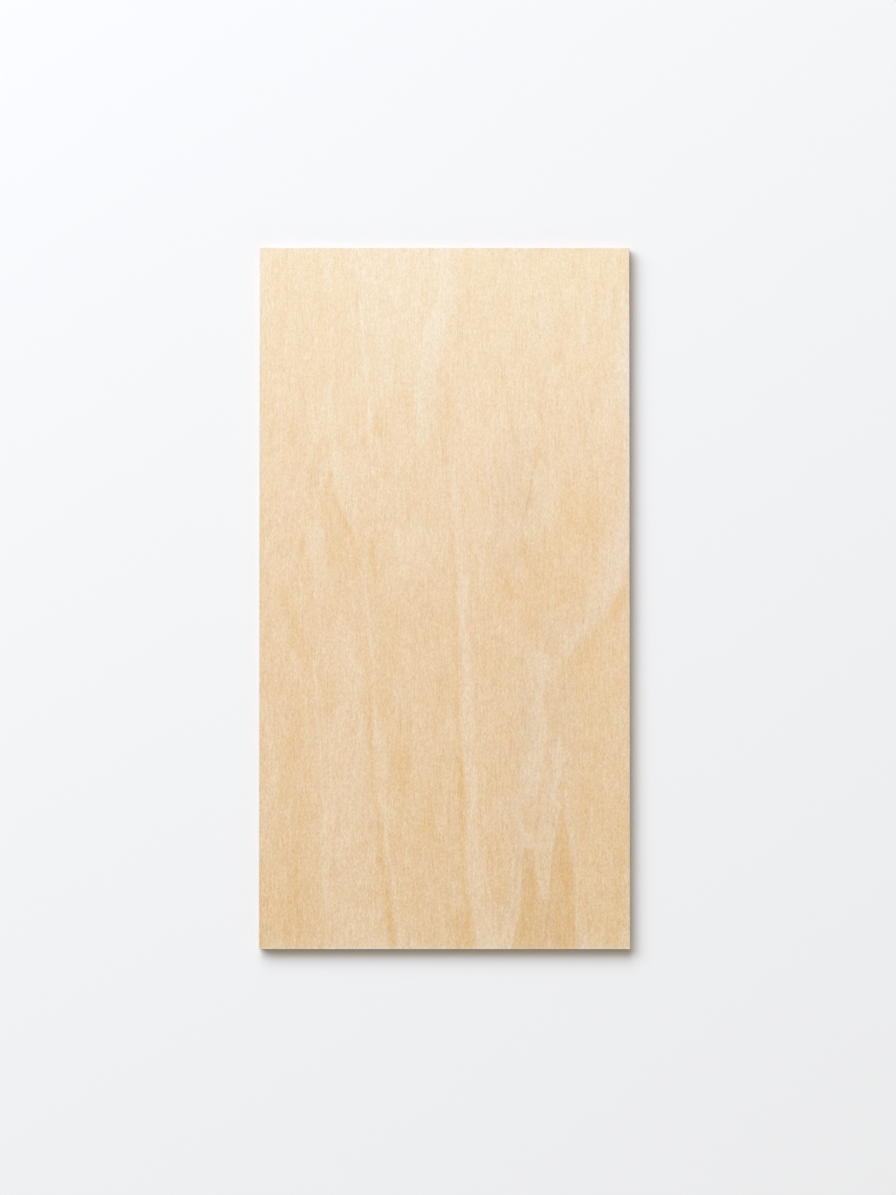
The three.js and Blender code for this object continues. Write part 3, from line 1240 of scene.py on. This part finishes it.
@dataclass(frozen=True)
class PressedPanel:
    """The seven veneers and the six films of glue between them.

    glue is the films' thickness. proud is how far end grain stands out past long grain, and the
    films lie that far in. Both are in metres. shift_step sets each ply's pattern off from the last
    one's, and seed draws the bedding.
    """

    sheet: SheetSizes
    glue: float = 0.08 * MM
    proud: float = 0.03 * MM
    shift_step: float = 13.0
    seed: int = 7

    def build(self) -> None:
        """Builds every ply and film, from the back to the face."""
        rng = random.Random(self.seed)
        heights = [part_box(veneer.node)[0].z for veneer in LAY_UP[1:]]
        beds = [Bed.pressed(height, rng) for height in heights]
        unders = [bed.moved(-self.glue / 2) for bed in beds]
        overs = [bed.moved(self.glue / 2) for bed in beds]
        lows = [Bed(0.0), *overs]
        highs = [*unders, Bed(self.sheet.thickness)]
        for count, (veneer, low, high) in enumerate(zip(LAY_UP, lows, highs, strict=True)):
            veneer.build(self.sheet, low, high, self.proud, self.shift_step * count)

        resin = CuredGlue().build("cured_urea_resin")
        for count, (under, over) in enumerate(zip(unders, overs, strict=True), start=1):
            name = f"glue_film_{count}"
            slab = Slab(self.sheet, under, over, (self.proud, self.proud))
            film = finished_piece(name, slab.mesh(name))
            film.data.materials.append(resin)


@dataclass(frozen=True)
class SoftLight:
    """A rectangular panel of light that faces the sheet.

    azimuth is counted in degrees from the far end round by the left, and elevation in degrees up
    from the floor. distance and size are in metres. radiance is how bright the panel itself is,
    where 1 would show as white.
    """

    name: str
    azimuth: float
    elevation: float
    distance: float
    size: tuple[float, float]
    radiance: float
    colour: tuple[float, float, float] = (1.0, 1.0, 1.0)

    def hang(self) -> None:
        """Hangs the light in the scene, where the camera can't see it."""
        az, el = math.radians(self.azimuth), math.radians(self.elevation)
        toward = Vector((-math.sin(az) * math.cos(el), math.cos(az) * math.cos(el), math.sin(el)))
        data = bpy.data.lights.new(self.name, "AREA")
        data.shape = "RECTANGLE"
        data.size, data.size_y = self.size
        data.energy = self.radiance * data.size * data.size_y * math.pi
        data.color = self.colour
        light = bpy.data.objects.new(self.name, data)
        light.location = toward * self.distance
        light.rotation_mode = "QUATERNION"
        light.rotation_quaternion = (-toward).to_track_quat("-Z", "Y")
        light.visible_camera = False
        bpy.context.scene.collection.objects.link(light)


@dataclass(frozen=True)
class Studio:
    """A paper floor under a large window light and a low reflector, seen from overhead.

    frame_px is the render's size in pixels. The sheet's middle and length in pixels are where it
    lands in the render. tilt is how far the camera leans off the vertical towards the near end.
    """

    frame_px: tuple[int, int] = (896, 1195)
    sheet_centre_px: tuple[float, float] = (444.55, 597.7)
    sheet_length_px: float = 701.5
    lens: float = 85.0
    sensor: float = 36.0
    tilt: float = math.radians(1.0)
    lights: tuple[SoftLight, ...] = (
        SoftLight("window_light", 33.6, 38.0, 8.92, (11.1, 5.8), 5.64, (1.0, 1.063, 1.158)),
        SoftLight("low_reflector", 202.0, 24.5, 3.0, (3.0, 1.2), 0.72),
    )
    fill: Colour = (0.288, 0.245, 0.181, 1.0)
    backdrop: str = "f0f2f4"
    paper: str = "f2f3f5"
    floor_radius: float = 20.0
    floor_segments: int = 96
    # The floor starts and ends its fade into the backdrop this far from the sheet's middle, in
    # metres.
    fade: tuple[float, float] = (0.64, 1.3)

    def camera(self, sheet: SheetSizes) -> None:
        """Places the camera so that the sheet lands where the frame wants it.

        Args:
            sheet: The sheet it looks at.
        """
        focal_px = self.lens / self.sensor * max(self.frame_px)
        per_px = sheet.length / self.sheet_length_px
        aim = Vector((
            (self.frame_px[0] / 2 - self.sheet_centre_px[0]) * per_px,
            (self.sheet_centre_px[1] - self.frame_px[1] / 2) * per_px,
            sheet.thickness,
        ))
        back = Vector((0, -math.sin(self.tilt), math.cos(self.tilt)))
        data = bpy.data.cameras.new("overhead_camera")
        data.lens = self.lens
        data.sensor_width = self.sensor
        camera = bpy.data.objects.new("overhead_camera", data)
        camera.location = aim + back * (focal_px * per_px)
        camera.rotation_mode = "QUATERNION"
        camera.rotation_quaternion = (-back).to_track_quat("-Z", "Y")
        bpy.context.scene.collection.objects.link(camera)
        bpy.context.scene.camera = camera

    def seen(self, tree: Tree) -> Socket:
        """Picks out the rays that should meet the backdrop.

        Args:
            tree: The material's or the world's tree.

        Returns:
            1 for what the camera sees, also in a reflection or through glass, and 0 for light.
        """
        rays = add(tree, "LightPath").outputs
        seen = rays["Is Camera Ray"]
        for ray in ("Is Glossy Ray", "Is Transmission Ray"):
            seen = add(tree, "Math", {0: seen, 1: rays[ray]}, operation="MAXIMUM").outputs[0]
        return seen

    def world(self) -> None:
        """Fills the shadows from all round and shows a pale backdrop behind everything."""
        world = bpy.data.worlds.new("studio_world")
        bpy.context.scene.world = world
        world.use_nodes = True
        tree = world.node_tree
        tree.nodes.clear()
        fill = add(tree, "Background", {"Color": self.fill, "Strength": 1.0}).outputs[0]
        shown = add(tree, "Background", {"Color": linear(self.backdrop), "Strength": 1.0}).outputs[0]
        mixed = add(tree, "MixShader", {0: self.seen(tree), 1: fill, 2: shown}).outputs[0]
        add(tree, "OutputWorld", {0: mixed})

    def floor(self) -> None:
        """Lays the paper floor, which fades into the backdrop far from the sheet."""
        bm = bmesh.new()
        bmesh.ops.create_circle(
            bm, cap_ends=True, segments=self.floor_segments, radius=self.floor_radius
        )
        mesh = bpy.data.meshes.new("paper_floor")
        bm.to_mesh(mesh)
        bm.free()
        floor = bpy.data.objects.new("paper_floor", mesh)
        bpy.context.scene.collection.objects.link(floor)
        mesh.materials.append(self.seamless_paper())
        floor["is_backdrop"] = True

    def seamless_paper(self) -> bpy.types.Material:
        """Makes the floor's finish, a matt paper that throws back no gloss.

        Returns:
            The material.
        """
        material = new_material("matt_seamless_paper")
        tree = material.node_tree
        paper = add(tree, "BsdfPrincipled", {
            "Base Color": linear(self.paper), "Roughness": 1.0, "Specular IOR Level": 0.0,
        }).outputs[0]
        glow = add(tree, "Emission", {"Color": linear(self.backdrop), "Strength": 1.0}).outputs[0]
        local = add(tree, "TexCoord").outputs["Object"]
        away = add(tree, "VectorMath", {0: local}, operation="LENGTH").outputs["Value"]
        start, full = self.fade
        far = add(tree, "MapRange", {
            "Value": away, "From Min": start, "From Max": full,
        }, interpolation_type="SMOOTHSTEP").outputs[0]
        seen = add(tree, "Math", {0: self.seen(tree), 1: far}, operation="MULTIPLY").outputs[0]
        mixed = add(tree, "MixShader", {0: seen, 1: paper, 2: glow}).outputs[0]
        add(tree, "OutputMaterial", {0: mixed})
        return material


def main() -> None:
    """Builds the sheet and the studio round it."""
    logging.basicConfig(level=logging.INFO, format="%(name)s: %(message)s")
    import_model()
    cad_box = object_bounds()
    low, high = cad_box
    sheet = SheetSizes(width=high.x - low.x, length=high.y - low.y, thickness=high.z - low.z)
    bpy.context.scene.view_settings.view_transform = "Standard"

    PressedPanel(sheet).build()

    studio = Studio()
    studio.floor()
    for light in studio.lights:
        light.hang()
    studio.world()
    studio.camera(sheet)


if __name__ == "__main__":
    main()
